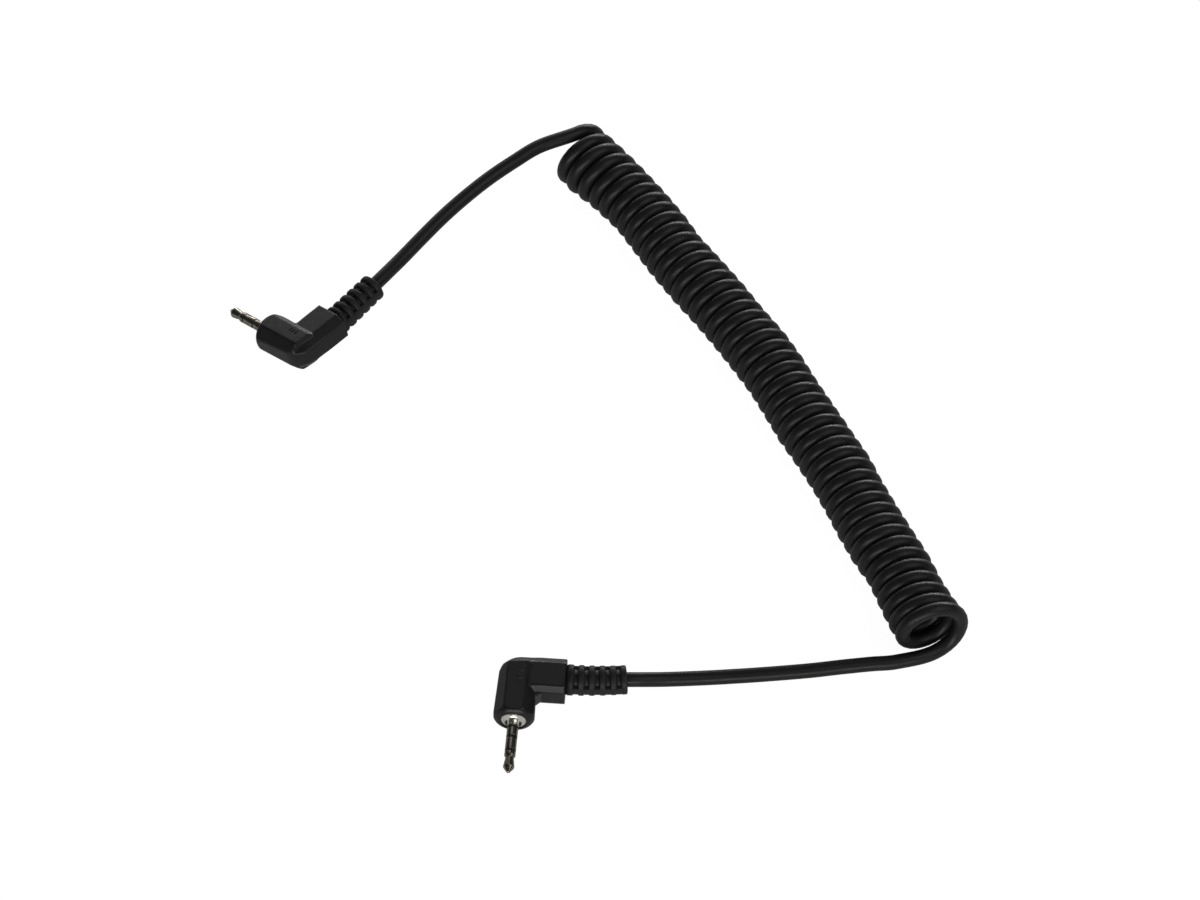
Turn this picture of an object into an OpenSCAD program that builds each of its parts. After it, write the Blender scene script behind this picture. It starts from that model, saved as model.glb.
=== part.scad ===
// Cable shutter release: a springy coiled cord with a right-angle 2.5 mm plug at each end.
// Each plug has three contacts, for common, focus and release. Both plugs are the same moulding.
// Millimetres, +Z up, lying on the plane z = 0. The pin of plug B points along -Y.
// The origin is on that plane, below the middle of the box round the two plugs.

/* [Plug body] */
// From the cord's line to the barrel's open end
barrel_l = 12; // [11.8:0.1:15]
// Barrel width at its open end
barrel_w = 9.2; // [8.8:0.1:10]
// Barrel thickness, across the two flats
barrel_t = 8.4; // [8:0.1:9]
// Width of the barrel's flat
flat_w = 4.3; // [3:0.1:5]
// From the pin's line to the face that the strain relief leaves
arm_l = 10.7; // [10.5:0.1:14]
// Thickness of the arm, which is lower than the barrel
arm_t = 7.1; // [6.8:0.1:7.6]
// From the cord's line to the arm's wall on the pin side
arm_front = 5.1; // [4.8:0.1:6]
// From the cord's line to the arm's back wall
arm_back = 4.2; // [3.8:0.1:4.6]

/* [Pin] */
// Diameter of the pin
pin_d = 2.5; // [2.4:0.05:2.6]
// How far the pin stands out of the barrel
pin_l = 13.3; // [12.8:0.1:15]
// Length of the sleeve that shows
sleeve_l = 4; // [3:0.1:4.4]
// Length of the ring
ring_l = 2.9; // [2:0.1:3]
// Length of each insulator that shows
insulator_l = 0.6; // [0.4:0.1:0.7]

/* [Strain relief] */
// Length outside the arm
relief_l = 13.4; // [12:0.1:16]
// Diameter of the rib next to the arm
relief_d1 = 6.9; // [6.4:0.1:7]
// Diameter of the last rib
relief_d2 = 6.5; // [6.2:0.1:7]
// Number of ribs
relief_ribs = 6; // [4:1:6]

/* [Cord] */
// Diameter of the cord
cord_d = 3.35; // [3:0.05:3.35]
// Outer diameter of the coil, which differs a little from turn to turn
coil_od = 15; // [14:0.1:18]
// Turns in the coil, which starts at its top and ends at its foot
coil_turns = 46.5; // [10.5:1:60.5]
// Least spacing of the turns along the coil
coil_pitch = 3.38; // [3.38:0.01:4.2]
// Heading of the coil where it starts, in degrees from +X
coil_heading = -47; // [-55:0.1:-40]
// How far the coil bends to the right over its length, in degrees
coil_bend = 18.3; // [1:0.1:19]

/* [Hidden] */
$fn = 64;

// Where the plugs lie, given as the point where the pin's line meets the cord's line. Plug B lies flat
// on its barrel. Plug A is turned over and leans on the tip of its pin.
plug_a_at = [-31.14, 43.89, 8.33];
plug_a_heading = 50.2;
plug_a_lean = 17;
plug_b_at = [26.1, -39.7, barrel_t / 2];

// Each strain relief gives a little to the pull of its lead: by this many degrees, about this axis of a
// plug whose cord leaves along X and whose pin points along -Y
relief_bend_a = 4.7;
relief_axis_a = [0, 4, -2.5] / norm([4, 2.5]);
relief_bend_b = 4.5;
relief_axis_b = [0, 0, 1];

// Distances along the pin's axis, from the cord's line towards the tip
pin_r = pin_d / 2;
flange_t = 0.6;
flange_front = barrel_l - 0.3;
flange_back = flange_front - flange_t;
flange_r = 2.8;
sleeve_end = barrel_l + sleeve_l;
ring_start = sleeve_end + insulator_l;
ring_end = ring_start + ring_l;
collar_start = ring_end + insulator_l;
collar_l = 1.2;
collar_bevel = 0.4;
tip_end = barrel_l + pin_l;
head_l = 1.7;
head_point = 1.05;
head_band = 0.25;
point_r = 0.28;
neck_r = 0.98;

// The contacts are tubes one inside the other, each longer at the back than the one round it
rod_r = 0.45;
tip_tube_r = 0.62;
ring_tube_r = 0.8;
sleeve_bore_r = 0.95;
sleeve_back = 6;
ring_insulator_back = 5.4;
ring_back = 3.6;
tip_insulator_back = 3;
rod_back = 0.6;
lug_l = 1.2;
lug_t = 0.8;
tip_lug = [1.2, -1.2, 0];
ring_lug = [1.7, -4.2, 0.8];
sleeve_lug = [2.1, -6.7, -0.9];

// Inside the arm
wire_d = 0.8;
wire_spread = 0.75;
mould_r = 2.3;
mould_arm = 4.6;
mould_arm_l = 8.4;
mould_web_t = 3.4;
cord_end_x = 6.6;
root_d = 5.6;
root_x = 9.3;

// Outside of the body
barrel_narrow = 0.4;
barrel_back = 2.5;
barrel_side = 2.8;
barrel_round = 2.2;
barrel_mouth_r = norm([barrel_w, barrel_side]) / 2 - barrel_round;
recess_r = 2.88;
arm_flat_front = 4.2;
arm_bevel = 2.2;
arm_wall = 3.9;
elbow_r = 4.9;
elbow_at = [elbow_r - barrel_w / 2 + barrel_narrow, arm_back - elbow_r];

// Strain relief
relief_end = arm_l + relief_l;
rib_w = 1.35;
rib_first = 0.35;
rib_pitch = (relief_l - rib_first - rib_w) / (relief_ribs - 1);
rib_edge = 0.3;
relief_core_d = 4.7;
web_w = 1.2;
web_d = 6;

// Coil: eight rings a turn, of six sides, with a flat of the tube facing the next turn
cord_r = cord_d / 2;
coil_r = (coil_od - cord_d) / 2;
coil_start = [27.9, 108.4, coil_od / 2];
turn_rings = 8;
coil_sides = 6;
coil_rings = coil_turns * turn_rings;
arc_r = coil_turns * coil_pitch / (coil_bend * PI / 180);

// How the coil lies: at a share of its length, how far its turns swell, lie to the left of their arc,
// and have slid along it
coil_lie = [
    [0, 0.15, -0.5, 0.2], [0.03, 0.5, -0.75, 0.65], [0.08, 0.05, 0.2, 1.25],
    [0.135, -0.25, 0.6, 1.55], [0.19, -0.05, 0, 1.75], [0.24, -0.15, -0.6, 1.85],
    [0.3, 0, -0.45, 1.95], [0.35, -0.1, 0, 2.05], [0.4, -0.2, 0.2, 2.15], [0.45, 0, 0.5, 2.25],
    [0.5, -0.1, 0.55, 2.35], [0.55, -0.1, 0.1, 2.45], [0.6, 0.1, -0.15, 2.5], [0.65, 0, 0.1, 2.6],
    [0.7, 0.1, 0.25, 2.6], [0.74, -0.05, 0, 2.6], [0.79, 0.1, -0.2, 2.6], [0.84, 0.2, 0, 2.6],
    [0.88, 0.05, 0.7, 2.6], [0.93, 0.2, 0.45, 2.6], [0.97, 0.5, 0.65, 2.6], [1, 0.8, 1.4, 2.6]
];

// The first turn starts this far behind its place, and the last half turn ends this far past it
coil_lead_in = 0.6;
coil_lead_out = 1.1;
UP = [0, 0, 1];

function aim(a) = [cos(a), sin(a), 0];
function unit(v) = v / norm(v);
function heading(turn) = coil_heading - coil_bend * turn / coil_turns;

// The coil's axis is an arc
function axis_at(turn) =
    let (h = heading(turn), h0 = coil_heading)
    coil_start + arc_r * [sin(h0) - sin(h), cos(h) - cos(h0), 0];
function lie(turn, what) = lookup(turn / coil_turns, [for (one = coil_lie) [one[0], one[what]]]);
function swell(turn) = lie(turn, 1);
function sway(turn) = lie(turn, 2);
function shift(turn) =
    lie(turn, 3) + coil_lead_out * pow(max(0, 1 - 2 * (coil_turns - turn)), 2)
    - coil_lead_in * pow(max(0, 1 - turn), 2);

// A point of the helix. It starts at the top, turns left-handed, and its foot stays on the ground.
function coil_out(turn) =
    let (a = 90 - 360 * turn)
    cos(a) * aim(heading(turn) + 90) + sin(a) * UP;
function coil_at(turn) =
    axis_at(turn) + shift(turn) * aim(heading(turn)) + sway(turn) * aim(heading(turn) + 90)
    + swell(turn) * UP + (coil_r + swell(turn)) * coil_out(turn);
function coil_dir(turn) = unit(coil_at(turn + 0.01) - coil_at(turn - 0.01));

// Both ends run straight for one diameter of the cord
coil_first = coil_at(0) - cord_d * coil_dir(0);
coil_last = coil_at(coil_turns) + cord_d * coil_dir(coil_turns);

// One ring of a tube: a point, the way the tube runs there, and the way its first corner lies
function ring(p, dir, out, r, sides) =
    let (u = unit(out - (out * dir) * dir), v = cross(dir, u))
    [for (i = [0 : sides - 1]) p + r * (cos(i * 360 / sides) * u + sin(i * 360 / sides) * v)];

function coil_section(p, turn) = ring(p, coil_dir(turn), coil_out(turn), cord_r, coil_sides);
function coil_ring(k) = coil_section(coil_at(k / turn_rings), k / turn_rings);
coil_tube = [
    coil_section(coil_first, 0),
    for (k = [0 : coil_rings]) coil_ring(k),
    coil_section(coil_last, coil_turns)
];

// Least gap from each turn to the next, measured from the corners of one ring to the tube's long
// edges in the turn after it
function from_edge(p, a, b) =
    let (t = min(1, max(0, (p - a) * (b - a) / ((b - a) * (b - a))))) norm(p - a - t * (b - a));
coil_gap = min([
    for (k = [0 : coil_rings - turn_rings - 1], turn = [-1, 0])
        let (one = coil_ring(k), back = coil_ring(k + turn_rings + turn),
             front = coil_ring(k + turn_rings + turn + 1))
        for (p = one, i = [0 : coil_sides - 1]) from_edge(p, back[i], front[i])
]);
function along(points, i = 0) =
    i + 1 < len(points) ? norm(points[i + 1] - points[i]) + along(points, i + 1) : 0;

// Where each strain relief ends, and the way the cord leaves it
function turned(v, a, axis) =
    v * cos(a) + cross(axis, v) * sin(a) + axis * (axis * v) * (1 - cos(a));
function from_plug_a(v) = turned(turned(v, 180 - plug_a_lean, [1, 0, 0]), plug_a_heading, UP);
way_a = from_plug_a(turned([1, 0, 0], relief_bend_a, relief_axis_a));
way_b = turned([1, 0, 0], relief_bend_b, relief_axis_b);
relief_a = plug_a_at + from_plug_a([arm_l, 0, 0]) + relief_l * way_a;
relief_b = plug_b_at + [arm_l, 0, 0] + relief_l * way_b;

// Routes of the two leads, each from its plug to the coil
lead_a_route = [
    relief_a,
    [-10.9, 71.2, 8.9], [-6.5, 77.7, 9.4], [-2.2, 83.6, 10.1], [2.5, 89.3, 10.8], [7.7, 94.8, 11.6],
    [13, 99.5, 12.4], [18.8, 104, 13.3],
    coil_first
];
lead_b_route = [
    relief_b,
    [57.8, -37.1, 2.8], [64.4, -35.8, 2], [71, -34.7, cord_r], [77.6, -33.7, cord_r],
    [84.2, -32.6, cord_r], [90.8, -31.4, cord_r], [97.3, -30, cord_r], [103.8, -28.7, cord_r],
    [109.4, -27.7, cord_r],
    coil_last
];
lead_sides = 8;

function route_dir(route, i) = unit(route[i + 1] - route[i - 1]);
function lead_tube(route, first, last) = let (n = len(route) - 1) [
    for (i = [0 : n])
        let (dir = i == 0 ? first : i == n ? last : route_dir(route, i))
        ring(route[i], dir, UP, cord_r, lead_sides)
];

// A closed tube through a list of rings, all of triangles
module tube(rings) {
    sides = len(rings[0]);
    n = len(rings);
    points = [for (one = rings) for (p = one) p];
    walls = [
        for (k = [0 : n - 2], i = [0 : sides - 1])
            let (a = k * sides + i, b = k * sides + (i + 1) % sides, c = a + sides, d = b + sides)
            each [[a, b, d], [a, d, c]]
    ];
    caps = [
        for (i = [1 : sides - 2])
            each [[0, i + 1, i], [(n - 1) * sides, (n - 1) * sides + i, (n - 1) * sides + i + 1]]
    ];
    polyhedron(points, [for (f = concat(walls, caps)) [f[0], f[2], f[1]]]);
}

// Turns a shape's +Z to the way the pin points
module along_pin() rotate([90, 0, 0]) children();

// Turns a shape's +Z to the way the cord leaves
module along_arm() rotate([0, 90, 0]) children();

// A turned piece of the pin, as radius against distance along the pin
module turned_pin(profile) along_pin() rotate_extrude() polygon(profile);

module pin_tube(inner, outer, from, to)
    turned_pin([[inner, from], [outer, from], [outer, to], [inner, to]]);

module lug(at) translate(at - [lug_l, lug_l / 2, lug_t / 2]) cube([lug_l, lug_l, lug_t]);

// A round piece on the cord's line
module arm_rod(d, from, to) translate([from, 0, 0]) along_arm() cylinder(d = d, h = to - from);

// Turns a shape about the middle of the arm's face
module bent(bend, axis)
    translate([arm_l, 0, 0]) rotate(a = bend, v = axis) translate([-arm_l, 0, 0]) children();

// All that lies past the arm's face, or before it
module past_face() translate([arm_l, -9, -9]) cube([relief_l + 9, 18, 18]);
module before_face() translate([-9, -9, -9]) cube([arm_l + 9, 18, 18]);

// Tip of the pin: a rod through the whole plug, with a collar, a neck and a pointed head
module tip_contact() color("silver") {
    turned_pin([
        [0, rod_back], [rod_r, rod_back], [rod_r, collar_start],
        [pin_r, collar_start], [pin_r, collar_start + collar_l - collar_bevel],
        [neck_r, collar_start + collar_l], [neck_r, tip_end - head_l],
        [pin_r, tip_end - head_point - head_band], [pin_r, tip_end - head_point],
        [point_r, tip_end - point_r / 2], [0, tip_end]
    ]);
    difference() {
        lug(tip_lug);
        pin_tube(0, rod_r - 0.05, -1, collar_start);
    }
}

module ring_contact() color("silver") {
    turned_pin([
        [tip_tube_r, ring_back], [ring_tube_r, ring_back], [ring_tube_r, ring_start],
        [pin_r, ring_start], [pin_r, ring_end], [tip_tube_r, ring_end]
    ]);
    difference() {
        lug(ring_lug);
        pin_tube(0, ring_tube_r - 0.05, 0, ring_start);
    }
}

// Sleeve with the flange that seats in the barrel's mouth
module sleeve_contact() color("silver") {
    turned_pin([
        [sleeve_bore_r, sleeve_back], [pin_r, sleeve_back], [pin_r, flange_back],
        [flange_r, flange_back], [flange_r, flange_front], [pin_r, flange_front],
        [pin_r, sleeve_end], [sleeve_bore_r, sleeve_end]
    ]);
    difference() {
        lug(sleeve_lug);
        pin_tube(0, pin_r - 0.05, 0, sleeve_end);
    }
}

module tip_insulator() color("black") turned_pin([
    [rod_r, tip_insulator_back], [tip_tube_r, tip_insulator_back], [tip_tube_r, ring_end],
    [pin_r, ring_end], [pin_r, collar_start], [rod_r, collar_start]
]);

module ring_insulator() color("black") turned_pin([
    [ring_tube_r, ring_insulator_back], [sleeve_bore_r, ring_insulator_back],
    [sleeve_bore_r, sleeve_end], [pin_r, sleeve_end], [pin_r, ring_start], [ring_tube_r, ring_start]
]);

// A wire from its place in the cord's end to the side of a lug, cut square to the cord
module wire(turn, to) {
    from = [cord_end_x, wire_spread * cos(turn), wire_spread * sin(turn)];
    run = to - from;
    reach = norm(run);
    intersection() {
        translate(from - run / reach)
            rotate([0, acos(run[2] / reach), atan2(run[1], run[0])])
            cylinder(d = wire_d, h = reach + 2);
        translate([to[0], -9, -9]) cube([cord_end_x - to[0], 18, 18]);
    }
}

module tip_wire() color("crimson") wire(0, tip_lug);
module ring_wire() color("gold") wire(120, ring_lug);
module sleeve_wire() color("whitesmoke") wire(240, sleeve_lug);

// Stretch of the cord that the strain relief and the inner mould hold, mitred at the arm's face
module cord_line(from, to, bend, axis) {
    intersection() {
        arm_rod(cord_d, from, arm_l + 1);
        bent(bend / 2, axis) before_face();
    }
    intersection() {
        bent(bend, axis) arm_rod(cord_d, arm_l - 1, to);
        bent(bend / 2, axis) past_face();
    }
}
module cord_end(bend, axis) color("black") cord_line(cord_end_x, relief_end, bend, axis);

module mould_outline() {
    along_pin() translate([0, 0, -mould_r]) cylinder(r = mould_r, h = flange_back + mould_r);
    translate([0, -mould_arm / 2, -mould_arm / 2]) cube([mould_arm_l, mould_arm, mould_arm]);
    translate([0, 0, -mould_web_t / 2]) linear_extrude(mould_web_t) polygon([
        [0, 0], [mould_arm_l, 0], [mould_arm_l, -mould_arm / 2], [sleeve_lug[0] + 0.7, sleeve_lug[1] - lug_l],
        [0, sleeve_lug[1] - lug_l]
    ]);
}

// First moulding, which holds the contacts, the joints and the cord's end before the body is moulded
module inner_mould() color("dimgray") difference() {
    mould_outline();
    pin_tube(0, pin_r, sleeve_back, tip_end);
    pin_tube(0, sleeve_bore_r, ring_insulator_back, tip_end);
    pin_tube(0, ring_tube_r, ring_back, tip_end);
    pin_tube(0, tip_tube_r, tip_insulator_back, tip_end);
    pin_tube(0, rod_r, rod_back, tip_end);
    lug(tip_lug);
    lug(ring_lug);
    lug(sleeve_lug);
    tip_wire();
    ring_wire();
    sleeve_wire();
    arm_rod(cord_d, cord_end_x, arm_l);
}

// Arm: straight past the barrel, and swept round the elbow's back corner
module arm() {
    translate([elbow_at[0], 0, 0]) along_arm() linear_extrude(arm_l - elbow_at[0]) polygon([
        [-arm_t / 2, arm_back - arm_bevel], [-arm_wall / 2, arm_back],
        [arm_wall / 2, arm_back], [arm_t / 2, arm_back - arm_bevel],
        [arm_t / 2, -arm_flat_front], [arm_wall / 2, -arm_front],
        [-arm_wall / 2, -arm_front], [-arm_t / 2, -arm_flat_front]
    ]);
    translate(elbow_at) rotate([0, 0, 90]) rotate_extrude(angle = 90) polygon([
        [0, -arm_t / 2], [elbow_r - arm_bevel, -arm_t / 2], [elbow_r, -arm_wall / 2],
        [elbow_r, arm_wall / 2], [elbow_r - arm_bevel, arm_t / 2], [0, arm_t / 2]
    ]);
}

// Barrel: eight-sided, a little narrower at the back, with its open end rounded all round
module barrel() intersection() {
    along_pin() translate([0, 0, -barrel_back]) linear_extrude(barrel_l + barrel_back) polygon([
        for (s = [1, -1]) each [
            [s * flat_w / 2, s * barrel_t / 2], [-s * flat_w / 2, s * barrel_t / 2],
            [-s * barrel_w / 2, s * barrel_side / 2], [-s * barrel_w / 2, -s * barrel_side / 2]
        ]
    ]);
    translate([0, 0, -barrel_t]) linear_extrude(2 * barrel_t) polygon([
        [-barrel_w / 2, -barrel_l], [barrel_w / 2, -barrel_l],
        [barrel_w / 2 - barrel_narrow, barrel_back],
        for (a = [150 : 10 : 180]) elbow_at + elbow_r * [cos(a), sin(a)]
    ]);
    turned_pin([
        [0, -barrel_back - 1], [barrel_mouth_r + barrel_round, -barrel_back - 1],
        for (a = [0 : 15 : 90])
            [barrel_mouth_r + barrel_round * cos(a), barrel_l - barrel_round * (1 - sin(a))],
        [0, barrel_l]
    ]);
}

module plug_body() color([0.12, 0.12, 0.13]) difference() {
    union() {
        arm();
        barrel();
    }
    mould_outline();
    pin_tube(0, recess_r, flange_back, barrel_l + 1);
    arm_rod(root_d, root_x, arm_l + 1);
    arm_rod(cord_d, mould_arm_l - 1, root_x + 1);
}

function rib_r(i) = (relief_d1 + (relief_d2 - relief_d1) * i / (relief_ribs - 1)) / 2;

// Strain relief: ribs on a thin sleeve, with four webs across each groove, and a root in the arm
module strain_relief(bend, axis) color([0.14, 0.14, 0.15]) difference() {
    union() {
        arm_rod(root_d, root_x, arm_l);
        bent(bend, axis) arm_rod(relief_core_d, arm_l - 1, relief_end);
        intersection() {
            bent(bend, axis) ribs();
            past_face();
        }
    }
    cord_line(root_x - 1, relief_end + 1, bend, axis);
}

module ribs() {
    for (i = [0 : relief_ribs - 1]) translate([arm_l + rib_first + i * rib_pitch, 0, 0])
        along_arm() rotate_extrude() polygon([
            [0, 0], [rib_r(i) - rib_edge, 0], [rib_r(i), rib_edge],
            [rib_r(i), rib_w - rib_edge], [rib_r(i) - rib_edge, rib_w], [0, rib_w]
        ]);
    for (a = [0, 90]) rotate([a, 0, 0])
        translate([arm_l + rib_first + rib_w / 2, -web_w / 2, -web_d / 2])
        cube([relief_l - rib_first - rib_w, web_w, web_d]);
}

lead_a_tube = lead_tube(lead_a_route, way_a, coil_dir(0));
lead_b_tube = lead_tube(lead_b_route, way_b, -coil_dir(coil_turns));
module lead_a() color("black") tube(lead_a_tube);
module coil() color("black") tube(coil_tube);
module lead_b() color("black") tube(lead_b_tube);

echo(coil_gap = coil_gap);
echo(cord_length = along(lead_a_route) + along([for (t = [0 : 0.025 : coil_turns]) coil_at(t)])
    + 2 * cord_d + along(lead_b_route));

module on_plug_a() translate(plug_a_at) rotate([180 - plug_a_lean, 0, plug_a_heading]) children();
module on_plug_b() translate(plug_b_at) children();

on_plug_a() tip_contact();  // tip_contact_a
on_plug_a() ring_contact();  // ring_contact_a
on_plug_a() sleeve_contact();  // sleeve_contact_a
on_plug_a() tip_insulator();  // tip_insulator_a
on_plug_a() ring_insulator();  // ring_insulator_a
on_plug_a() tip_wire();  // tip_wire_a
on_plug_a() ring_wire();  // ring_wire_a
on_plug_a() sleeve_wire();  // sleeve_wire_a
on_plug_a() inner_mould();  // inner_mould_a
on_plug_a() cord_end(relief_bend_a, relief_axis_a);  // cord_end_a
on_plug_a() plug_body();  // plug_body_a
on_plug_a() strain_relief(relief_bend_a, relief_axis_a);  // strain_relief_a
lead_a();
coil();
lead_b();
on_plug_b() tip_contact();  // tip_contact_b
on_plug_b() ring_contact();  // ring_contact_b
on_plug_b() sleeve_contact();  // sleeve_contact_b
on_plug_b() tip_insulator();  // tip_insulator_b
on_plug_b() ring_insulator();  // ring_insulator_b
on_plug_b() tip_wire();  // tip_wire_b
on_plug_b() ring_wire();  // ring_wire_b
on_plug_b() sleeve_wire();  // sleeve_wire_b
on_plug_b() inner_mould();  // inner_mould_b
on_plug_b() cord_end(relief_bend_b, relief_axis_b);  // cord_end_b
on_plug_b() plug_body();  // plug_body_b
on_plug_b() strain_relief(relief_bend_b, relief_axis_b);  // strain_relief_b
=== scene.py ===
"""Cable shutter release: a coiled cord with a right-angle 2.5 mm three-contact plug at each end."""
import math

import bmesh
import bpy
from mathutils import Euler, Matrix, Vector
from mathutils.geometry import interpolate_bezier
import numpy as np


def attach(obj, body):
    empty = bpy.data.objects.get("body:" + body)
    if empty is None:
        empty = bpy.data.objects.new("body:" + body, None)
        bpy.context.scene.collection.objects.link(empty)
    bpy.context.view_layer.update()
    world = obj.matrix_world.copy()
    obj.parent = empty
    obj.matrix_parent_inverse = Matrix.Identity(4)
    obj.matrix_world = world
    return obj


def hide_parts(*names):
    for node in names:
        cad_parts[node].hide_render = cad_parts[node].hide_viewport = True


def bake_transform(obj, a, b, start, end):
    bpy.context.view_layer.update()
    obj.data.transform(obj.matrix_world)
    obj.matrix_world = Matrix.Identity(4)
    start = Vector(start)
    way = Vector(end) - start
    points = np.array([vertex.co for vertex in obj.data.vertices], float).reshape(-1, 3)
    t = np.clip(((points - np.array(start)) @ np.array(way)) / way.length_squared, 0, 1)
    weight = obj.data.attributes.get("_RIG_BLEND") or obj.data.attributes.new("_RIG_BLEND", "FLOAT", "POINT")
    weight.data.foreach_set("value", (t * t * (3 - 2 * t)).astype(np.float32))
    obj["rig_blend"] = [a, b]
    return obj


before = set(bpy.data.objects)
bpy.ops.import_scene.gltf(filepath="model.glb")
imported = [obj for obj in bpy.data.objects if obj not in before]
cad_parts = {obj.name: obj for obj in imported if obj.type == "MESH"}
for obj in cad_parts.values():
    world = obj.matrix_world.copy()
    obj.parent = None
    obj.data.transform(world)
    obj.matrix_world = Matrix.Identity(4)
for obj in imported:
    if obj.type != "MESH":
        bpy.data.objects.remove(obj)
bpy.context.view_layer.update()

MM = 0.001
UP = Vector((0, 0, 1))


def heading(degrees):
    return Vector((math.cos(math.radians(degrees)), math.sin(math.radians(degrees)), 0))


# ---------------------------------------------------------------- camera

LOOK_AT = Vector((39.2, 26.5, 0)) * MM
CAMERA_DISTANCE = 1.197
CAMERA_ELEVATION = math.radians(54)
CAMERA_HEADING = 94.4
CAMERA_LENS = 156.7


def add_camera():
    along = heading(CAMERA_HEADING) * math.cos(CAMERA_ELEVATION) - UP * math.sin(CAMERA_ELEVATION)
    data = bpy.data.cameras.new("camera")
    data.sensor_width = 36
    data.lens = CAMERA_LENS
    data.clip_start = 0.02
    data.clip_end = 20
    camera = bpy.data.objects.new("camera", data)
    camera.location = LOOK_AT - along * CAMERA_DISTANCE
    camera.rotation_euler = along.to_track_quat("-Z", "Y").to_euler()
    bpy.context.collection.objects.link(camera)
    bpy.context.scene.camera = camera


add_camera()

# ---------------------------------------------------------------- sizes, in millimetres

BARREL_T = 8.4
ARM_L = 10.7

# Places of the two plugs, at the point where the pin's line meets the cord's line. In a plug's own
# frame its cord leaves along +X and its pin points along -Y. Plug A leans on the tip of its pin.
PLUG_A = Matrix.Translation((-31.14, 43.89, 8.33)) @ Euler(
    (math.radians(180 - 17), 0, math.radians(50.2))).to_matrix().to_4x4()
PLUG_B = Matrix.Translation((26.1, -39.7, BARREL_T / 2))

# The pin: distances along its line, and radii
TIP_BACK = 0.6
TIP_TUBE_BACK = 3
RING_BACK = 3.6
RING_TUBE_BACK = 5.4
SLEEVE_BACK = 6
PIN_R = 1.25
SLEEVE_END = 16.0
RING_START = 16.6
RING_END = 19.5
COLLAR_START = 20.1
COLLAR_END = 21.3
TIP_END = 25.3
# The collar slopes down to the neck. The head swells from there to its shoulder, and ends in a
# slightly blunt point.
COLLAR_SLOPE = 0.4
NECK_R = 0.93
SHOULDER_START, SHOULDER_END = TIP_END - 1.65, TIP_END - 1.45
BLUNT_R, BLUNT_L = 0.35, 0.15
ROD_R = 0.45
TIP_TUBE_R = 0.62
RING_TUBE_R = 0.8
SLEEVE_BORE_R = 0.95
FLANGE_FRONT = 11.7
FLANGE_BACK = 11.1
FLANGE_R = 2.8
FLANGE_BORE_R = PIN_R - 0.1
FLANGE_COLLAR_L = 1.4
FLANGE_COLLAR_R = PIN_R + 0.06
# How far the insulators' bands lie below the contacts
INSULATOR_INSET = 0.02
# The lug on which each contact's wire is soldered, inside the plug: the middle of its outer end
LUGS = {"tip": (1.2, -1.2, 0), "ring": (1.7, -4.2, 0.8), "sleeve": (2.1, -6.7, -0.9)}
LUG_L, LUG_HALF_W, LUG_HALF_T = 0.8, 0.6, 0.4

# Three bars on the barrel's flat: where they are on it, and how far they go in and stand out
BARS = 3
BAR_X = (0.2, 1.4)
BAR_FIRST = -1.2
BAR_STEP = 0.95
BAR_HALF_W = 0.2
BAR_IN = 0.3
BAR_OUT = 0.15

# The strain relief: a thin sleeve with a collar at the arm, and ribs that get a little smaller
RELIEF_L = 13.4
RIBS = 6
RIB_W = 1.35
RIB_FIRST = 0.35
RIB_PITCH = (RELIEF_L - RIB_FIRST - RIB_W) / (RIBS - 1)
RIB_R = 3.45
RIB_TAPER = 0.2
RIB_SLOPE = 0.02
RIB_ROUNDING = (0.25, 0.4, 0.4, 0.25)
RELIEF_COLLAR_R = 3.3
RELIEF_CORE_R = 2.35
# The webs between two ribs, as half their width and their radius: on the flats, and on the sides.
# Each starts inside the sleeve and goes a little into both ribs.
WEBS = [(0.2, 2.75), (1.0, 3.2)]
WEB_FOOT_R = 2.1
WEB_IN_RIB = 0.3
ROOT_X = 9.3
ROOT_R = 2.8

CORD_D = 3.35
CORD_R = CORD_D / 2
# How far each end of the cord goes on inside its strain relief
CORD_INSIDE = 3

# How each strain relief gives to the pull of its lead: turns about the plug's Y and Z, in degrees
BEND_A = (4, -2.5)
BEND_B = (0, 4.5)
# A's relief bends close to the arm, over this length. B's curves all along, so it turns twice as
# far to end in the same place.
BEND_OVER_A = 3
CURVE_B = (0, 9)

# Points of the two leads: A's from its plug to the coil, B's from the coil to its plug
LEAD_A = [(-10.9, 71.2, 8.9), (-6.5, 77.7, 9.4), (-2.2, 83.6, 10.1), (2.5, 89.3, 10.8),
          (7.7, 94.8, 11.6), (13, 99.5, 12.4), (18.8, 104, 13.3)]
LEAD_B = [(109.4, -27.7, CORD_R), (103.8, -28.7, CORD_R), (97.3, -30, CORD_R),
          (90.8, -31.4, CORD_R), (84.2, -32.6, CORD_R), (77.6, -33.7, CORD_R), (71, -34.7, CORD_R),
          (64.4, -35.8, 2), (57.8, -37.1, 2.8)]
# How far apart the points of the smooth line through them are
LEAD_STEP = 1

# The coil: a left-handed helix on a level arc
TURNS = 46.5
PITCH = 3.38
COIL_HEADING = -47
COIL_BEND = 18.3
COIL_D = 15
COIL_R = (COIL_D - CORD_D) / 2
COIL_START = Vector((27.9, 108.4, 0))
COIL_ARC_R = TURNS * PITCH / math.radians(COIL_BEND)
# Points of the line in each turn
COIL_STEPS = 28
# How far the first turn is drawn back along the axis, and the last half turn out, to meet the leads
COIL_LEAD_IN = 0.6
COIL_LEAD_OUT = 1.1

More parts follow.
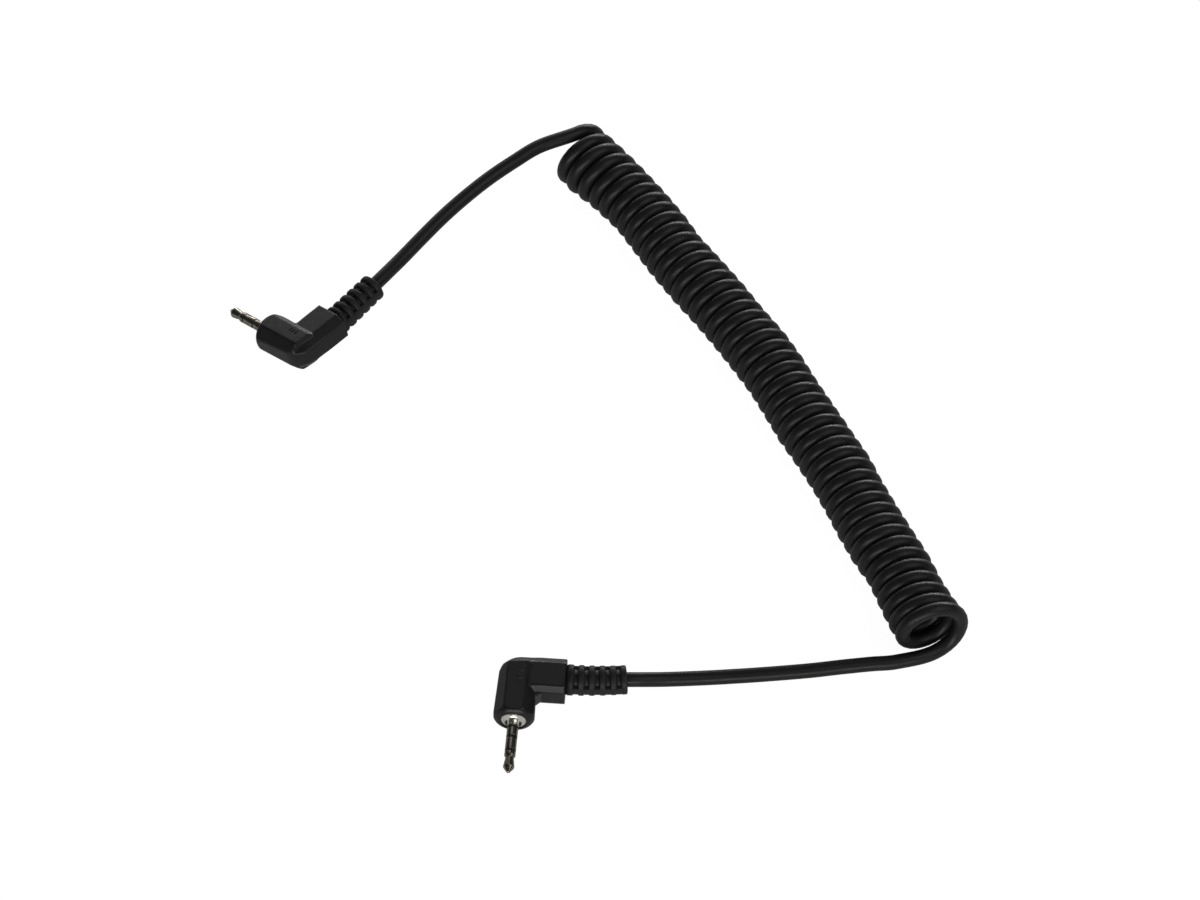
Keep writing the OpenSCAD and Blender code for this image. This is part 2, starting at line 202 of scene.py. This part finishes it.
# How the coil lies: at a share of its length, how far its turns swell, lie to the left of their
# arc, and have slid along it. The last turns lie close together.
COIL_LIE = [
    (0, 0.15, -0.5, 0.2), (0.03, 0.5, -0.75, 0.65), (0.08, 0.05, 0.2, 1.25),
    (0.135, -0.25, 0.6, 1.55), (0.19, -0.05, 0, 1.75), (0.24, -0.15, -0.6, 1.85),
    (0.3, 0, -0.45, 1.95), (0.35, -0.1, 0, 2.05), (0.4, -0.2, 0.2, 2.15), (0.45, 0, 0.5, 2.25),
    (0.5, -0.1, 0.55, 2.35), (0.55, -0.1, 0.1, 2.45), (0.6, 0.1, -0.15, 2.5), (0.65, 0, 0.1, 2.6),
    (0.7, 0.1, 0.25, 2.6), (0.74, -0.05, 0, 2.6), (0.79, 0.1, -0.2, 2.6), (0.84, 0.2, 0, 2.6),
    (0.88, 0.05, 0.7, 2.6), (0.93, 0.2, 0.45, 2.85), (0.955, 0.4, 0.55, 3), (0.975, 0.55, 0.8, 3.2),
    (1, 0.8, 1.4, 2.6),
]


# ---------------------------------------------------------------- the cord's line, in millimetres

def coil_heading(turn):
    return COIL_HEADING - COIL_BEND * turn / TURNS


def lie(turn):
    """How far the turn swells, lies to the left of the coil's arc, and has slid along it."""
    share = turn / TURNS
    for low, high in zip(COIL_LIE, COIL_LIE[1:]):
        if share <= high[0]:
            break
    t = (share - low[0]) / (high[0] - low[0])
    return [a + (b - a) * t for a, b in zip(low[1:], high[1:])]


def coil_point(turn):
    """From the top of the first turn to the foot of the last, which is on the ground."""
    h, start = math.radians(coil_heading(turn)), math.radians(COIL_HEADING)
    axis = COIL_START + COIL_ARC_R * Vector(
        (math.sin(start) - math.sin(h), math.cos(h) - math.cos(start), 0))
    swell, sway, slide = lie(turn)
    shift = (slide + COIL_LEAD_OUT * max(0, 1 - 2 * (TURNS - turn)) ** 2
             - COIL_LEAD_IN * max(0, 1 - turn) ** 2)
    angle = math.radians(90 - 360 * turn)
    radius = COIL_R + swell
    across = heading(coil_heading(turn) + 90)
    return (axis + heading(coil_heading(turn)) * shift + across * (sway + radius * math.cos(angle))
            + UP * (radius + CORD_R + radius * math.sin(angle)))


def smooth_line(points, first, last):
    """A smooth line through the points, leaving along first and arriving along last."""
    spans = len(points) - 1
    line = []
    for i in range(spans):
        a, b = points[i], points[i + 1]
        reach = (b - a).length
        out = first if i == 0 else (b - points[i - 1]).normalized()
        into = last if i == spans - 1 else (points[i + 2] - a).normalized()
        count = max(3, round(reach / LEAD_STEP) + 1)
        line += interpolate_bezier(a, a + out * reach / 3, b - into * reach / 3, b, count)[:-1]
    return line + [points[-1]]


def cord_line():
    """The whole cord as one line, with how much of the coil lies before each point."""
    coil = [coil_point(i / COIL_STEPS) for i in range(round(TURNS * COIL_STEPS) + 1)]
    first, last = (coil[1] - coil[0]).normalized(), (coil[-1] - coil[-2]).normalized()
    away_a = (PLUG_A.to_3x3() @ relief_dir(BEND_A)).normalized()
    away_b = relief_dir(BEND_B)
    lead_a = [PLUG_A @ relief_tip(BEND_A)] + [Vector(p) for p in LEAD_A] + [coil[0]]
    lead_b = [coil[-1]] + [Vector(p) for p in LEAD_B] + [PLUG_B @ relief_tip(BEND_B)]
    lead_a = smooth_line(lead_a, away_a, first)
    lead_b = smooth_line(lead_b, last, -away_b)
    lead_a.insert(0, lead_a[0] - away_a * CORD_INSIDE)
    lead_b.append(lead_b[-1] - away_b * CORD_INSIDE)
    shares = [0.0] * (len(lead_a) - 1) + [i / (len(coil) - 1) for i in range(len(coil))]
    line = lead_a[:-1] + coil + lead_b[1:]
    for point in line:
        point.z = max(point.z, CORD_R)
    return line, shares + [1.0] * (len(line) - len(shares))


def relief_dir(bend):
    rise, turn = math.radians(bend[0]), math.radians(bend[1])
    return Vector((math.cos(rise) * math.cos(turn), math.cos(rise) * math.sin(turn),
                   -math.sin(rise)))


def relief_tip(bend):
    return Vector((ARM_L, 0, 0)) + RELIEF_L * relief_dir(bend)


# ---------------------------------------------------------------- materials

def colour(code):
    """sRGB hex to linear."""
    parts = [int(code[i:i + 2], 16) / 255 for i in (0, 2, 4)]
    return [p / 12.92 if p <= 0.04045 else ((p + 0.055) / 1.055) ** 2.4 for p in parts] + [1]


def add(tree, kind, inputs=None, **settings):
    """Adds a node with its settings, and its inputs as values or links."""
    node = tree.nodes.new(kind)
    for name, value in settings.items():
        setattr(node, name, value)
    for name, value in (inputs or {}).items():
        if isinstance(value, bpy.types.NodeSocket):
            tree.links.new(value, node.inputs[name])
        else:
            node.inputs[name].default_value = value
    return node


def new_material(name):
    material = bpy.data.materials.new(name)
    material.use_nodes = True
    tree = material.node_tree
    tree.nodes.clear()
    shader = add(tree, "ShaderNodeBsdfPrincipled")
    add(tree, "ShaderNodeOutputMaterial", {"Surface": shader.outputs["BSDF"]})
    return material, tree, shader


def millimetres(tree, turn=(0, 0, 0)):
    """Object coordinates in millimetres, turned by the given angles."""
    place = add(tree, "ShaderNodeTexCoord").outputs["Object"]
    return add(tree, "ShaderNodeMapping", {"Vector": place, "Rotation": turn, "Scale": (1000,) * 3},
               vector_type="POINT").outputs["Vector"]


def link(tree, source, shader, name):
    tree.links.new(source, shader.inputs[name])


def moulded_plastic(name, light, dark, rough, gloss, grain=0.35, depth=0.012):
    """Moulded plastic: the fine grain of an eroded mould, and duller and shinier patches.

    The grain is how wide its bumps are and the depth how deep they are, in millimetres.
    """
    material, tree, shader = new_material(name)
    at = millimetres(tree)
    # patches about 3 mm across
    patches = add(tree, "ShaderNodeTexNoise",
                  {"Vector": at, "Scale": 0.35, "Detail": 3}).outputs["Fac"]
    tone = add(tree, "ShaderNodeMix", {"Factor": patches, "A": colour(dark), "B": colour(light)},
               data_type="RGBA").outputs["Result"]
    link(tree, tone, shader, "Base Color")
    fine = add(tree, "ShaderNodeTexNoise",
               {"Vector": at, "Scale": 1 / grain, "Detail": 2}).outputs["Fac"]
    both = add(tree, "ShaderNodeMath", {0: patches, 1: fine}, operation="ADD").outputs[0]
    spread = add(tree, "ShaderNodeMapRange",
                 {"Value": both, "From Min": 0.7, "From Max": 1.3,
                  "To Min": rough - 0.05, "To Max": rough + 0.06}).outputs[0]
    link(tree, spread, shader, "Roughness")
    bump = add(tree, "ShaderNodeBump", {"Height": fine, "Strength": 1, "Distance": depth * MM})
    link(tree, bump.outputs["Normal"], shader, "Normal")
    shader.inputs["Specular IOR Level"].default_value = gloss
    shader.inputs["IOR"].default_value = 1.53
    return material


def cord_jacket():
    """Extruded polyurethane: satin black and smooth, with dull marks about 1 mm across."""
    material, tree, shader = new_material("extruded_polyurethane_black")
    at = millimetres(tree)
    # the black changes slowly, over about 8 mm
    slow = add(tree, "ShaderNodeTexNoise",
               {"Vector": at, "Scale": 0.12, "Detail": 2}).outputs["Fac"]
    tone = add(tree, "ShaderNodeMix",
               {"Factor": slow, "A": colour("1f1e1e"), "B": colour("242221")},
               data_type="RGBA").outputs["Result"]
    link(tree, tone, shader, "Base Color")
    soft = add(tree, "ShaderNodeTexNoise", {"Vector": at, "Scale": 0.9, "Detail": 4}).outputs["Fac"]
    spread = add(tree, "ShaderNodeMapRange",
                 {"Value": soft, "From Min": 0.35, "From Max": 0.65,
                  "To Min": 0.32, "To Max": 0.42}).outputs[0]
    link(tree, spread, shader, "Roughness")
    # the skin's unevenness, about 0.5 mm across and 6 micrometres deep
    fine = add(tree, "ShaderNodeTexNoise", {"Vector": at, "Scale": 2.2, "Detail": 3}).outputs["Fac"]
    bump = add(tree, "ShaderNodeBump", {"Height": fine, "Strength": 1, "Distance": 0.006 * MM})
    link(tree, bump.outputs["Normal"], shader, "Normal")
    shader.inputs["Specular IOR Level"].default_value = 0.21
    return material


def turned_nickel(name, to_plug, dark, light, rough):
    """Nickel plate on turned brass: bright, a little warm, with the rings that the tool left."""
    material, tree, shader = new_material(name)
    back = to_plug.to_3x3().inverted().to_euler()
    at = millimetres(tree, tuple(back))
    # tool marks 0.05 mm apart are too fine to show, so they are drawn 0.25 mm apart
    rings = add(tree, "ShaderNodeTexWave",
                {"Vector": at, "Scale": 0.63, "Distortion": 0.6, "Detail": 3},
                bands_direction="Y").outputs["Fac"]
    # stains about 1 mm across
    stain = add(tree, "ShaderNodeTexNoise",
                {"Vector": at, "Scale": 0.8, "Detail": 4}).outputs["Fac"]
    tone = add(tree, "ShaderNodeMix", {"Factor": stain, "A": colour(dark), "B": colour(light)},
               data_type="RGBA").outputs["Result"]
    link(tree, tone, shader, "Base Color")
    spread = add(tree, "ShaderNodeMapRange",
                 {"Value": rings, "To Min": rough - 0.05, "To Max": rough + 0.05}).outputs[0]
    link(tree, spread, shader, "Roughness")
    bump = add(tree, "ShaderNodeBump", {"Height": rings, "Strength": 0.6, "Distance": 0.002 * MM})
    link(tree, bump.outputs["Normal"], shader, "Normal")
    shader.inputs["Metallic"].default_value = 1
    return material


# a hard, fine-grained outer moulding, and a softer and duller one for the reliefs
PLUG_MOULDING = moulded_plastic("moulded_pvc_black", "252527", "202021", 0.3, 0.21, depth=0.008)
RELIEF_MOULDING = moulded_plastic("moulded_soft_pvc_black", "28272a", "222122", 0.5, 0.2)
CORD_JACKET = cord_jacket()
INSULATOR = moulded_plastic("moulded_nylon_black", "141414", "0c0c0c", 0.3, 0.5,
                            grain=0.5, depth=0.004)
INNER_MOULDING = moulded_plastic("moulded_polyethylene_grey", "3e3e40", "343436", 0.5, 0.4)
RED_WIRE = moulded_plastic("wire_pvc_red", "a82020", "921616", 0.4, 0.5)
YELLOW_WIRE = moulded_plastic("wire_pvc_yellow", "cfa82c", "bf9820", 0.4, 0.5)
WHITE_WIRE = moulded_plastic("wire_pvc_white", "dcdad3", "cbc9c2", 0.4, 0.5)


# ---------------------------------------------------------------- making pieces

LATHE_STEPS = 64
ROUNDING_STEPS = 4
# How far the edges of a block are softened
BLOCK_EDGE = 0.12


def new_piece(name, shape, place, material, smooth=True):
    """Closes a bmesh drawn in a plug's frame, in millimetres. Its place goes into its mesh."""
    bmesh.ops.remove_doubles(shape, verts=shape.verts, dist=1e-4)
    bmesh.ops.recalc_face_normals(shape, faces=shape.faces)
    bmesh.ops.transform(shape, matrix=Matrix.Scale(MM, 4) @ place, verts=shape.verts)
    mesh = bpy.data.meshes.new(name)
    shape.to_mesh(mesh)
    shape.free()
    if smooth:
        mesh.shade_smooth()
    mesh.materials.append(material)
    piece = bpy.data.objects.new(name, mesh)
    bpy.context.collection.objects.link(piece)
    return piece


def lathe(profile, axis):
    """Spins a closed profile of (radius, distance) about the pin's or the cord's line."""
    shape = bmesh.new()
    if axis == "pin":
        ring = [shape.verts.new((r, -w, 0)) for r, w in profile]
        line = Vector((0, 1, 0))
    else:
        ring = [shape.verts.new((w, r, 0)) for r, w in profile]
        line = Vector((1, 0, 0))
    edges = [shape.edges.new((ring[i], ring[(i + 1) % len(ring)])) for i in range(len(ring))]
    bmesh.ops.spin(shape, geom=ring + edges, cent=(0, 0, 0), axis=line, angle=2 * math.pi,
                   steps=LATHE_STEPS, use_merge=True)
    bmesh.ops.remove_doubles(shape, verts=shape.verts, dist=1e-4)
    return shape


def rounded(profile, corners):
    """The profile with the named corners rounded: {index: radius}."""
    out = []
    count = len(profile)
    for i, point in enumerate(profile):
        if i not in corners:
            out.append(point)
            continue
        p, before, after = (Vector(profile[j % count]) for j in (i, i - 1, i + 1))
        a = p + (before - p).normalized() * corners[i]
        b = p + (after - p).normalized() * corners[i]
        for k in range(ROUNDING_STEPS + 1):
            t = k / ROUNDING_STEPS
            out.append(tuple(a * (1 - t) ** 2 + p * 2 * t * (1 - t) + b * t * t))
    return out


def block(shape, low, high, matrix=Matrix.Identity(4)):
    """Adds a box with softened edges to a bmesh."""
    made = bmesh.ops.create_cube(shape, size=1)["verts"]
    low, high = Vector(low), Vector(high)
    fit = Matrix.Translation((low + high) / 2) @ Matrix.Diagonal((*(high - low), 1))
    bmesh.ops.transform(shape, matrix=matrix @ fit, verts=made)
    edges = list(dict.fromkeys(e for v in made for e in v.link_edges))
    bmesh.ops.bevel(shape, geom=edges, offset=BLOCK_EDGE, segments=2, profile=0.5, affect="EDGES",
                    material=-1)


def evaluated(piece, modifiers):
    """Gives the piece the shape that its modifiers make, and takes them off."""
    for kind, settings in modifiers:
        modifier = piece.modifiers.new(kind.lower(), kind)
        for name, value in settings.items():
            setattr(modifier, name, value)
    seen = piece.evaluated_get(bpy.context.evaluated_depsgraph_get())
    mesh = bpy.data.meshes.new_from_object(seen)
    piece.modifiers.clear()
    piece.data = mesh


# ---------------------------------------------------------------- cord

def make_cord():
    """The jacket as one tube from plug to plug. The coil opens turn by turn as the plugs part."""
    line, shares = cord_line()
    curve = bpy.data.curves.new("cord", "CURVE")
    curve.dimensions = "3D"
    curve.bevel_depth = CORD_R * MM
    curve.bevel_resolution = 7
    spline = curve.splines.new("POLY")
    spline.points.add(len(line) - 1)
    for point, place in zip(spline.points, line):
        point.co = (*(place * MM), 1)
    drawn = bpy.data.objects.new("cord_line", curve)
    bpy.context.collection.objects.link(drawn)
    bpy.context.view_layer.update()
    mesh = bpy.data.meshes.new_from_object(
        drawn.evaluated_get(bpy.context.evaluated_depsgraph_get()))
    bpy.data.objects.remove(drawn)
    mesh.name = "cord"
    shape = bmesh.new()
    shape.from_mesh(mesh)
    bmesh.ops.holes_fill(shape, edges=[e for e in shape.edges if e.is_boundary])
    shape.to_mesh(mesh)
    shape.free()
    mesh.materials.clear()
    mesh.materials.append(CORD_JACKET)
    mesh.shade_smooth()
    cord = bpy.data.objects.new("cord", mesh)
    bpy.context.collection.objects.link(cord)
    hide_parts("lead_a", "coil", "lead_b")
    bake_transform(cord, "plug_a_side", "plug_b_side", start=line[0] * MM, end=line[-1] * MM)
    sides = len(mesh.vertices) // len(line)
    weights = [share for share in shares for _ in range(sides)]
    mesh.attributes["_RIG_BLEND"].data.foreach_set("value", weights)


# ---------------------------------------------------------------- plugs

# How finely a body's edges are rounded, and how many times its faces are evened out: all of it,
# then the barrel, and then the heel of the elbow
VOXEL = 0.13
EDGE_PASSES, BARREL_PASSES, HEEL_PASSES = 10, 25, 140
# The barrel and the heel end here, and fade out over the last millimetre
BARREL_TO_X, BARREL_TO_Y, HEEL_TO_X = 5, -11, 4


def faded(*depths):
    """1 well inside all the limits, 0 outside any, and in between over the last millimetre."""
    return math.prod(min(1, max(0, depth)) for depth in depths)


def soft_copy(node, name, place):
    """The moulding with its edges rounded as it comes out of the mould, the barrel's the most."""
    shape = bmesh.new()
    shape.from_mesh(bpy.data.objects[node].data)
    bmesh.ops.scale(shape, vec=(1000,) * 3, verts=shape.verts)
    piece = new_piece(name, shape, Matrix.Scale(1000, 4), PLUG_MOULDING)
    evaluated(piece, [("REMESH", {"mode": "VOXEL", "voxel_size": VOXEL, "use_smooth_shade": True}),
                      ("SMOOTH", {"factor": 0.5, "iterations": EDGE_PASSES})])
    barrel, heel = piece.vertex_groups.new(name="barrel"), piece.vertex_groups.new(name="heel")
    back = place.inverted()
    for v in piece.data.vertices:
        at = back @ v.co
        barrel.add([v.index], faded(BARREL_TO_X - at.x, at.y - BARREL_TO_Y), "REPLACE")
        heel.add([v.index], faded(HEEL_TO_X - at.x, at.y, at.z), "REPLACE")
    evaluated(piece, [
        ("SMOOTH", {"factor": 0.5, "iterations": BARREL_PASSES, "vertex_group": "barrel"}),
        ("SMOOTH", {"factor": 0.5, "iterations": HEEL_PASSES, "vertex_group": "heel"})])
    piece.vertex_groups.clear()
    piece.data.transform(Matrix.Scale(MM, 4))
    return piece


def bend_about_face(shape, bend, over):
    """Bends what lies past the arm's face, over the given length. The rest goes on straight."""
    steps = 40
    rise, turn = bend
    places, at = [], Vector((ARM_L, 0, 0))
    for i in range(steps + 1):
        x = i / steps * RELIEF_L
        share = min(1, x / over)
        turned = Euler((0, math.radians(rise * share), math.radians(turn * share))).to_matrix()
        places.append((at.copy(), turned))
        at += turned @ Vector((RELIEF_L / steps, 0, 0))
    for v in shape.verts:
        if v.co.x > ARM_L:
            k = min(steps, (v.co.x - ARM_L) / RELIEF_L * steps)
            i = min(steps - 1, int(k))
            start, way = places[i]
            rest = (k - i) * RELIEF_L / steps
            v.co = start + way @ Vector((rest, v.co.y, v.co.z))


def relief_profile():
    """Radius against distance: rounded ribs on a thin sleeve, and a root held by the arm."""
    points = [(CORD_R, ROOT_X), (ROOT_R, ROOT_X), (ROOT_R, ARM_L), (RELIEF_COLLAR_R, ARM_L)]
    corners = {}
    for i in range(RIBS):
        start = ARM_L + RIB_FIRST + i * RIB_PITCH
        r = RIB_R - RIB_TAPER * i / (RIBS - 1)
        # the first rib's low step down to the collar stays sharp
        corners.update({len(points) + k: RIB_ROUNDING[k] for k in range(0 if i else 2, 4)})
        points += [(RELIEF_CORE_R if i else RELIEF_COLLAR_R, start - RIB_SLOPE), (r, start),
                   (r, start + RIB_W), (RELIEF_CORE_R, start + RIB_W + RIB_SLOPE)]
    del corners[len(points) - 1]
    points[-1] = (RELIEF_CORE_R, ARM_L + RELIEF_L)
    points.append((CORD_R, ARM_L + RELIEF_L))
    return rounded(points, corners)


def make_relief(side, place, bend, over):
    shape = lathe(relief_profile(), "cord")
    for i in range(RIBS - 1):
        start = ARM_L + RIB_FIRST + i * RIB_PITCH + RIB_W
        for quarter in range(4):
            spin = Matrix.Rotation(math.radians(90 * quarter), 4, "X")
            half, top = WEBS[quarter % 2]
            block(shape, (start - WEB_IN_RIB, -half, WEB_FOOT_R),
                  (start + RIB_PITCH - RIB_W + WEB_IN_RIB, half, top), spin)
    bend_about_face(shape, bend, over)
    piece = new_piece("strain_relief_" + side, shape, place, RELIEF_MOULDING)
    finish_piece(piece, side, "relief_moulding", "strain_relief_" + side)


def make_grip_bars(side, place):
    """Three short raised bars on the flat that faces up, near the barrel's back."""
    shape = bmesh.new()
    up = 1 if side == "b" else -1
    faces = sorted((up * (BARREL_T / 2 - BAR_IN), up * (BARREL_T / 2 + BAR_OUT)))
    for i in range(BARS):
        y = BAR_FIRST - BAR_STEP * i
        block(shape, (BAR_X[0], y - BAR_HALF_W, faces[0]), (BAR_X[1], y + BAR_HALF_W, faces[1]))
    piece = new_piece("grip_bars_" + side, shape, place, PLUG_MOULDING)
    finish_piece(piece, side, "plug_moulding")


def finish_piece(piece, side, slot, *nodes):
    """Puts the piece on its plug's body and in place of the nodes. The slot is not used."""
    if nodes:
        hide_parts(*nodes)
    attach(piece, "plug_%s_side" % side)


def make_pin(side, place, nickel):
    """The pin as it is turned: three contacts, one in another, and the two insulators."""
    tip = rounded([(0, TIP_BACK), (ROD_R, TIP_BACK), (ROD_R, COLLAR_START), (PIN_R, COLLAR_START),
                   (PIN_R, COLLAR_END - COLLAR_SLOPE), (NECK_R, COLLAR_END),
                   (PIN_R, SHOULDER_START), (PIN_R, SHOULDER_END), (BLUNT_R, TIP_END - BLUNT_L),
                   (0, TIP_END)],
                  {3: 0.08, 4: 0.12, 5: 0.15, 6: 0.08, 7: 0.08, 8: 0.12})
    ring = rounded([(TIP_TUBE_R, RING_BACK), (RING_TUBE_R, RING_BACK), (RING_TUBE_R, RING_START),
                    (PIN_R, RING_START), (PIN_R, RING_END), (TIP_TUBE_R, RING_END)],
                   {3: 0.07, 4: 0.07})
    sleeve = rounded([(SLEEVE_BORE_R, SLEEVE_BACK), (PIN_R, SLEEVE_BACK), (PIN_R, SLEEVE_END),
                      (SLEEVE_BORE_R, SLEEVE_END)], {2: 0.07})
    flange = rounded([(FLANGE_BORE_R, FLANGE_BACK), (FLANGE_R, FLANGE_BACK),
                      (FLANGE_R, FLANGE_FRONT), (FLANGE_COLLAR_R, FLANGE_FRONT),
                      (FLANGE_COLLAR_R, FLANGE_FRONT + FLANGE_COLLAR_L),
                      (FLANGE_BORE_R, FLANGE_FRONT + FLANGE_COLLAR_L)], {2: 0.15, 4: 0.06})
    for name, profile in (("tip", tip), ("ring", ring), ("sleeve", sleeve)):
        shape = lathe(profile, "pin")
        x, y, z = LUGS[name]
        block(shape, (x - LUG_L, y - LUG_HALF_W, z - LUG_HALF_T),
              (x, y + LUG_HALF_W, z + LUG_HALF_T))
        contact = name + "_contact_" + side
        finish_piece(new_piece(contact, shape, place, nickel), side, "nickel_contact", contact)
    # the flange and the pin are the same nickel plate; the flange keeps the bright colour, and the pin's
    # darker colour is painted shade for the dark surroundings that its sides mirror
    bright = turned_nickel("bright_nickel_" + side, place, "f4f1e6", "faf8f0", 0.2)
    piece = new_piece("flange_" + side, lathe(flange, "pin"), place, bright)
    finish_piece(piece, side, "nickel_contact")
    band_r = PIN_R - INSULATOR_INSET
    insulators = {
        "tip": [(ROD_R, TIP_TUBE_BACK), (TIP_TUBE_R, TIP_TUBE_BACK), (TIP_TUBE_R, RING_END),
                (band_r, RING_END), (band_r, COLLAR_START), (ROD_R, COLLAR_START)],
        "ring": [(RING_TUBE_R, RING_TUBE_BACK), (SLEEVE_BORE_R, RING_TUBE_BACK),
                 (SLEEVE_BORE_R, SLEEVE_END), (band_r, SLEEVE_END), (band_r, RING_START),
                 (RING_TUBE_R, RING_START)],
    }
    for name, profile in insulators.items():
        node = name + "_insulator_" + side
        piece = new_piece(node, lathe(profile, "pin"), place, INSULATOR, smooth=False)
        finish_piece(piece, side, "insulator", node)


def make_plug(side, place, bend, over):
    # the pin's nickel colour is darker than the flange's: painted shade, standing in for the dark
    # surroundings that the pin mirrors
    nickel = turned_nickel("pin_nickel_painted_shade_" + side, place, "7e7a6e", "9a9588", 0.2)
    make_pin(side, place, nickel)
    make_relief(side, place, bend, over)
    body = "plug_body_" + side
    finish_piece(soft_copy(body, body, place), side, "plug_moulding", body)
    make_grip_bars(side, place)
    # what lies inside keeps its solid
    hidden = {"tip_wire": RED_WIRE, "ring_wire": YELLOW_WIRE, "sleeve_wire": WHITE_WIRE,
              "inner_mould": INNER_MOULDING, "cord_end": CORD_JACKET}
    for node, material in hidden.items():
        mesh = bpy.data.objects[node + "_" + side].data
        mesh.materials.clear()
        mesh.materials.append(material)


make_cord()
make_plug("a", PLUG_A, BEND_A, BEND_OVER_A)
make_plug("b", PLUG_B, CURVE_B, RELIEF_L)


# ---------------------------------------------------------------- floor, lamps and world

# How much of the floor is plain white: to the camera, which leaves it a soft shadow, and to mirror
# rays, so that the black faces that look down to it stay black
FLOOR_SEEN = 0.85
FLOOR_MIRRORED = 0.1
FLOOR_STRENGTH = 1.15
# How strongly the world shines on the object. The camera sees it white.
WORLD_STRENGTH = 0.05


def make_floor():
    """A white table that shows white and keeps a soft shadow."""
    shape = bmesh.new()
    bmesh.ops.create_circle(shape, cap_ends=True, segments=64, radius=3)
    mesh = bpy.data.meshes.new("floor")
    shape.to_mesh(mesh)
    shape.free()
    material = bpy.data.materials.new("white_table")
    material.use_nodes = True
    tree = material.node_tree
    tree.nodes.clear()
    rays = add(tree, "ShaderNodeLightPath").outputs
    mirrored = add(tree, "ShaderNodeMath",
                   {0: rays["Is Glossy Ray"], 1: rays["Is Transmission Ray"]},
                   operation="MAXIMUM").outputs[0]
    mirrored = add(tree, "ShaderNodeMath", {0: mirrored, 1: FLOOR_MIRRORED},
                   operation="MULTIPLY").outputs[0]
    seen = add(tree, "ShaderNodeMath", {0: rays["Is Camera Ray"], 1: FLOOR_SEEN},
               operation="MULTIPLY").outputs[0]
    share = add(tree, "ShaderNodeMath", {0: seen, 1: mirrored}, operation="MAXIMUM").outputs[0]
    paper = add(tree, "ShaderNodeBsdfDiffuse", {"Color": colour("f4f4f4")}).outputs[0]
    white = add(tree, "ShaderNodeEmission",
                {"Color": (1, 1, 1, 1), "Strength": FLOOR_STRENGTH}).outputs[0]
    both = add(tree, "ShaderNodeMixShader", {0: share, 1: paper, 2: white}).outputs[0]
    add(tree, "ShaderNodeOutputMaterial", {"Surface": both})
    mesh.materials.append(material)
    floor = bpy.data.objects.new("floor", mesh)
    bpy.context.collection.objects.link(floor)


def add_lamp(name, place, size, power):
    """A lamp that faces the object: its place and size in metres, its power in watts."""
    data = bpy.data.lights.new(name, "AREA")
    data.shape = "RECTANGLE"
    data.size, data.size_y = size
    data.energy = power
    lamp = bpy.data.objects.new(name, data)
    lamp.location = place
    lamp.rotation_euler = (LOOK_AT - Vector(place)).to_track_quat("-Z", "Y").to_euler()
    bpy.context.collection.objects.link(lamp)


def light_scene():
    world = bpy.data.worlds.new("studio")
    world.use_nodes = True
    tree = world.node_tree
    tree.nodes.clear()
    seen = add(tree, "ShaderNodeLightPath").outputs["Is Camera Ray"]
    strength = add(tree, "ShaderNodeMath", {0: seen, 1: WORLD_STRENGTH},
                   operation="MAXIMUM").outputs[0]
    white = add(tree, "ShaderNodeBackground", {"Color": (1, 1, 1, 1), "Strength": strength})
    add(tree, "ShaderNodeOutputWorld", {"Surface": white.outputs[0]})
    bpy.context.scene.world = world
    add_lamp("key", (1.5, -0.5, 1.8), (2.0, 2.0), 15)
    add_lamp("front", (0.1, -2.2, 0.45), (2.4, 0.7), 28)
    add_lamp("back", (-0.3, 2.8, 0.55), (4.0, 0.5), 21)
    add_lamp("back_low", (0.6, 2.8, 0.3), (2.0, 0.3), 26)
    add_lamp("back_left", (-0.9, 2.2, 1.1), (1.6, 0.8), 1.3)
    add_lamp("back_top", (-0.2, 1.5, 2.2), (1.4, 1.0), 2.3)


make_floor()
light_scene()
bpy.context.scene.view_settings.view_transform = "Standard"
